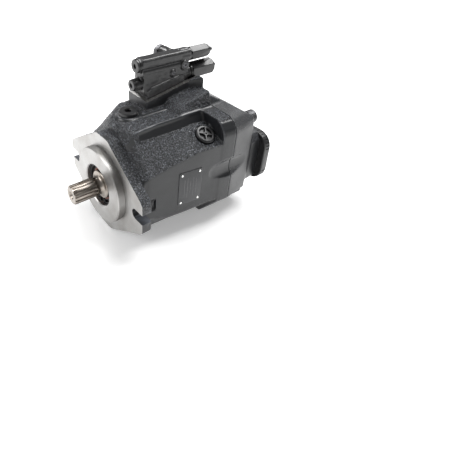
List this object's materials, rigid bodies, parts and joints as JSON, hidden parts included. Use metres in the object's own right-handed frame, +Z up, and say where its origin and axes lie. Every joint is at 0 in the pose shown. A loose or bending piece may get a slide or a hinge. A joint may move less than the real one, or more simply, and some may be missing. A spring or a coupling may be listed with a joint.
{
  "type": "axial piston pump",
  "caption": "Variable displacement swashplate axial piston pump with a two-bolt flange, splined shaft, rear ports and a top control valve.",
  "frame": {"origin": "middle of the footprint, on the surface the pump stands on", "axes": "-Y out along the drive shaft, +X towards the name plate side, +Z up towards the control valve"},
  "size_m": [0.174, 0.2582, 0.222],
  "materials": {
    "cast_paint": "semi-gloss",
    "valve_paint": "gloss",
    "steel": "ground",
    "dark_steel": "black oxide",
    "bronze": "machined",
    "spring_steel": "drawn",
    "seal": "matte",
    "gasket": "matte",
    "plastic": "moulded",
    "plate": "satin"
  },
  "bodies": {
    "housing": {"pump_housing": "cast_paint", "port_plate": "cast_paint", "housing_gasket": "gasket", "cover_bolt_1": "dark_steel", "cover_bolt_2": "dark_steel", "cover_bolt_3": "dark_steel", "cover_bolt_4": "dark_steel", "front_bearing_cup": "steel", "rear_bearing_cup": "steel", "shaft_seal": "seal", "seal_circlip": "dark_steel", "cradle_bearing_right": "bronze", "cradle_bearing_left": "bronze", "valve_plate": "bronze", "counter_spring": "spring_steel", "name_plate": "plate", "drain_plug": "valve_paint", "valve_body": "valve_paint", "valve_port_plug": "dark_steel", "upper_adjuster": "valve_paint", "lower_adjuster": "valve_paint", "upper_front_plug": "dark_steel", "lower_front_plug": "dark_steel"},
    "shaft": {"drive_shaft": "steel", "front_bearing_cone": "steel", "rear_bearing_cone": "steel", "cylinder_barrel": "steel", "barrel_spring": "spring_steel", "guide_ball": "steel"},
    "swashplate": {"swashplate": "steel"},
    "retainer": {"retainer_plate": "dark_steel"},
    "slipper_1": {"slipper_1": "bronze"},
    "piston_1": {"piston_1": "steel"},
    "slipper_2": {"slipper_2": "bronze"},
    "piston_2": {"piston_2": "steel"},
    "slipper_3": {"slipper_3": "bronze"},
    "piston_3": {"piston_3": "steel"},
    "slipper_4": {"slipper_4": "bronze"},
    "piston_4": {"piston_4": "steel"},
    "slipper_5": {"slipper_5": "bronze"},
    "piston_5": {"piston_5": "steel"},
    "slipper_6": {"slipper_6": "bronze"},
    "piston_6": {"piston_6": "steel"},
    "slipper_7": {"slipper_7": "bronze"},
    "piston_7": {"piston_7": "steel"},
    "slipper_8": {"slipper_8": "bronze"},
    "piston_8": {"piston_8": "steel"},
    "slipper_9": {"slipper_9": "bronze"},
    "piston_9": {"piston_9": "steel"},
    "control_piston": {"control_piston": "steel"},
    "counter_piston": {"counter_piston": "steel"},
    "upper_spool": {"upper_spool": "steel", "upper_valve_spring": "spring_steel"},
    "upper_adjuster_screw": {"upper_adjuster_screw": "dark_steel"},
    "lower_spool": {"lower_spool": "steel", "lower_valve_spring": "spring_steel"},
    "lower_adjuster_screw": {"lower_adjuster_screw": "dark_steel"},
    "drain_port_cap": {"drain_port_cap": "plastic"},
    "suction_cover": {"suction_cover": "plastic"},
    "pressure_cover": {"pressure_cover": "plastic"}
  },
  "joints": [
    {"name": "shaft_spin", "type": "hinge", "parent": "housing", "child": "shaft", "pos_m": [0, -0.0112, 0.069], "axis": [0, -1, 0], "continuous": true},
    {"name": "swash_tilt", "type": "hinge", "parent": "housing", "child": "swashplate", "pos_m": [0, -0.0112, 0.069], "axis": [-1, 0, 0], "range_deg": [0, 18]},
    {"name": "retainer_turn", "type": "hinge", "parent": "swashplate", "child": "retainer", "pos_m": [0, -0.0112, 0.069], "axis": [0, -1, 0], "continuous": true},
    {"name": "slipper_turn_1", "type": "hinge", "parent": "retainer", "child": "slipper_1", "pos_m": [0, -0.0112, 0.1018], "axis": [0, -1, 0], "continuous": true},
    {"name": "piston_swivel_1", "type": "hinge", "parent": "slipper_1", "child": "piston_1", "pos_m": [0, -0.0112, 0.1018], "axis": [-1, 0, 0], "range_deg": [-18, 0]},
    {"name": "slipper_turn_2", "type": "hinge", "parent": "retainer", "child": "slipper_2", "pos_m": [-0.02108, -0.0112, 0.09413], "axis": [0, -1, 0], "continuous": true},
    {"name": "piston_swivel_2", "type": "hinge", "parent": "slipper_2", "child": "piston_2", "pos_m": [-0.02108, -0.0112, 0.09413], "axis": [-1, 0, 0], "range_deg": [-18, 0]},
    {"name": "slipper_turn_3", "type": "hinge", "parent": "retainer", "child": "slipper_3", "pos_m": [-0.0323, -0.0112, 0.0747], "axis": [0, -1, 0], "continuous": true},
    {"name": "piston_swivel_3", "type": "hinge", "parent": "slipper_3", "child": "piston_3", "pos_m": [-0.0323, -0.0112, 0.0747], "axis": [-1, 0, 0], "range_deg": [-18, 0]},
    {"name": "slipper_turn_4", "type": "hinge", "parent": "retainer", "child": "slipper_4", "pos_m": [-0.02841, -0.0112, 0.0526], "axis": [0, -1, 0], "continuous": true},
    {"name": "piston_swivel_4", "type": "hinge", "parent": "slipper_4", "child": "piston_4", "pos_m": [-0.02841, -0.0112, 0.0526], "axis": [-1, 0, 0], "range_deg": [-18, 0]},
    {"name": "slipper_turn_5", "type": "hinge", "parent": "retainer", "child": "slipper_5", "pos_m": [-0.01122, -0.0112, 0.03818], "axis": [0, -1, 0], "continuous": true},
    {"name": "piston_swivel_5", "type": "hinge", "parent": "slipper_5", "child": "piston_5", "pos_m": [-0.01122, -0.0112, 0.03818], "axis": [-1, 0, 0], "range_deg": [-18, 0]},
    {"name": "slipper_turn_6", "type": "hinge", "parent": "retainer", "child": "slipper_6", "pos_m": [0.01122, -0.0112, 0.03818], "axis": [0, -1, 0], "continuous": true},
    {"name": "piston_swivel_6", "type": "hinge", "parent": "slipper_6", "child": "piston_6", "pos_m": [0.01122, -0.0112, 0.03818], "axis": [-1, 0, 0], "range_deg": [-18, 0]},
    {"name": "slipper_turn_7", "type": "hinge", "parent": "retainer", "child": "slipper_7", "pos_m": [0.02841, -0.0112, 0.0526], "axis": [0, -1, 0], "continuous": true},
    {"name": "piston_swivel_7", "type": "hinge", "parent": "slipper_7", "child": "piston_7", "pos_m": [0.02841, -0.0112, 0.0526], "axis": [-1, 0, 0], "range_deg": [-18, 0]},
    {"name": "slipper_turn_8", "type": "hinge", "parent": "retainer", "child": "slipper_8", "pos_m": [0.0323, -0.0112, 0.0747], "axis": [0, -1, 0], "continuous": true},
    {"name": "piston_swivel_8", "type": "hinge", "parent": "slipper_8", "child": "piston_8", "pos_m": [0.0323, -0.0112, 0.0747], "axis": [-1, 0, 0], "range_deg": [-18, 0]},
    {"name": "slipper_turn_9", "type": "hinge", "parent": "retainer", "child": "slipper_9", "pos_m": [0.02108, -0.0112, 0.09413], "axis": [0, -1, 0], "continuous": true},
    {"name": "piston_swivel_9", "type": "hinge", "parent": "slipper_9", "child": "piston_9", "pos_m": [0.02108, -0.0112, 0.09413], "axis": [-1, 0, 0], "range_deg": [-18, 0]},
    {"name": "control_piston_slide", "type": "slide", "parent": "housing", "child": "control_piston", "axis": [0, 1, 0], "range_m": [0, 0.02021]},
    {"name": "counter_piston_slide", "type": "slide", "parent": "housing", "child": "counter_piston", "axis": [0, 1, 0], "range_m": [-0.01663, 0]},
    {"name": "upper_spool_slide", "type": "slide", "parent": "housing", "child": "upper_spool", "axis": [0, 1, 0], "range_m": [0, 0.003], "stiffness_N_per_m": 2000},
    {"name": "upper_adjuster_turn", "type": "hinge", "parent": "housing", "child": "upper_adjuster_screw", "pos_m": [-0.0075, 0.0768, 0.212], "axis": [0, 1, 0], "range_deg": [-180, 180]},
    {"name": "lower_spool_slide", "type": "slide", "parent": "housing", "child": "lower_spool", "axis": [0, 1, 0], "range_m": [0, 0.003], "stiffness_N_per_m": 2000},
    {"name": "lower_adjuster_turn", "type": "hinge", "parent": "housing", "child": "lower_adjuster_screw", "pos_m": [-0.0075, 0.0768, 0.189], "axis": [0, 1, 0], "range_deg": [-180, 180]},
    {"name": "drain_cap_pull", "type": "slide", "parent": "housing", "child": "drain_port_cap", "axis": [0.5, 0, 0.866], "range_m": [0, 0.014]},
    {"name": "suction_cover_pull", "type": "slide", "parent": "housing", "child": "suction_cover", "axis": [0, 1, 0], "range_m": [0, 0.012]},
    {"name": "pressure_cover_pull", "type": "slide", "parent": "housing", "child": "pressure_cover", "axis": [0, 1, 0], "range_m": [0, 0.012]}
  ],
  "couplings": [
    {"joint": "retainer_turn", "follows": "shaft_spin", "ratio": 1},
    {"joint": "slipper_turn_1", "follows": "shaft_spin", "ratio": -1},
    {"joint": "piston_swivel_1", "follows": "swash_tilt", "ratio": -1},
    {"joint": "slipper_turn_2", "follows": "shaft_spin", "ratio": -1},
    {"joint": "piston_swivel_2", "follows": "swash_tilt", "ratio": -1},
    {"joint": "slipper_turn_3", "follows": "shaft_spin", "ratio": -1},
    {"joint": "piston_swivel_3", "follows": "swash_tilt", "ratio": -1},
    {"joint": "slipper_turn_4", "follows": "shaft_spin", "ratio": -1},
    {"joint": "piston_swivel_4", "follows": "swash_tilt", "ratio": -1},
    {"joint": "slipper_turn_5", "follows": "shaft_spin", "ratio": -1},
    {"joint": "piston_swivel_5", "follows": "swash_tilt", "ratio": -1},
    {"joint": "slipper_turn_6", "follows": "shaft_spin", "ratio": -1},
    {"joint": "piston_swivel_6", "follows": "swash_tilt", "ratio": -1},
    {"joint": "slipper_turn_7", "follows": "shaft_spin", "ratio": -1},
    {"joint": "piston_swivel_7", "follows": "swash_tilt", "ratio": -1},
    {"joint": "slipper_turn_8", "follows": "shaft_spin", "ratio": -1},
    {"joint": "piston_swivel_8", "follows": "swash_tilt", "ratio": -1},
    {"joint": "slipper_turn_9", "follows": "shaft_spin", "ratio": -1},
    {"joint": "piston_swivel_9", "follows": "swash_tilt", "ratio": -1},
    {"joint": "control_piston_slide", "follows": "swash_tilt", "m_per_rad": 0.064},
    {"joint": "counter_piston_slide", "follows": "swash_tilt", "m_per_rad": -0.05262}
  ]
}
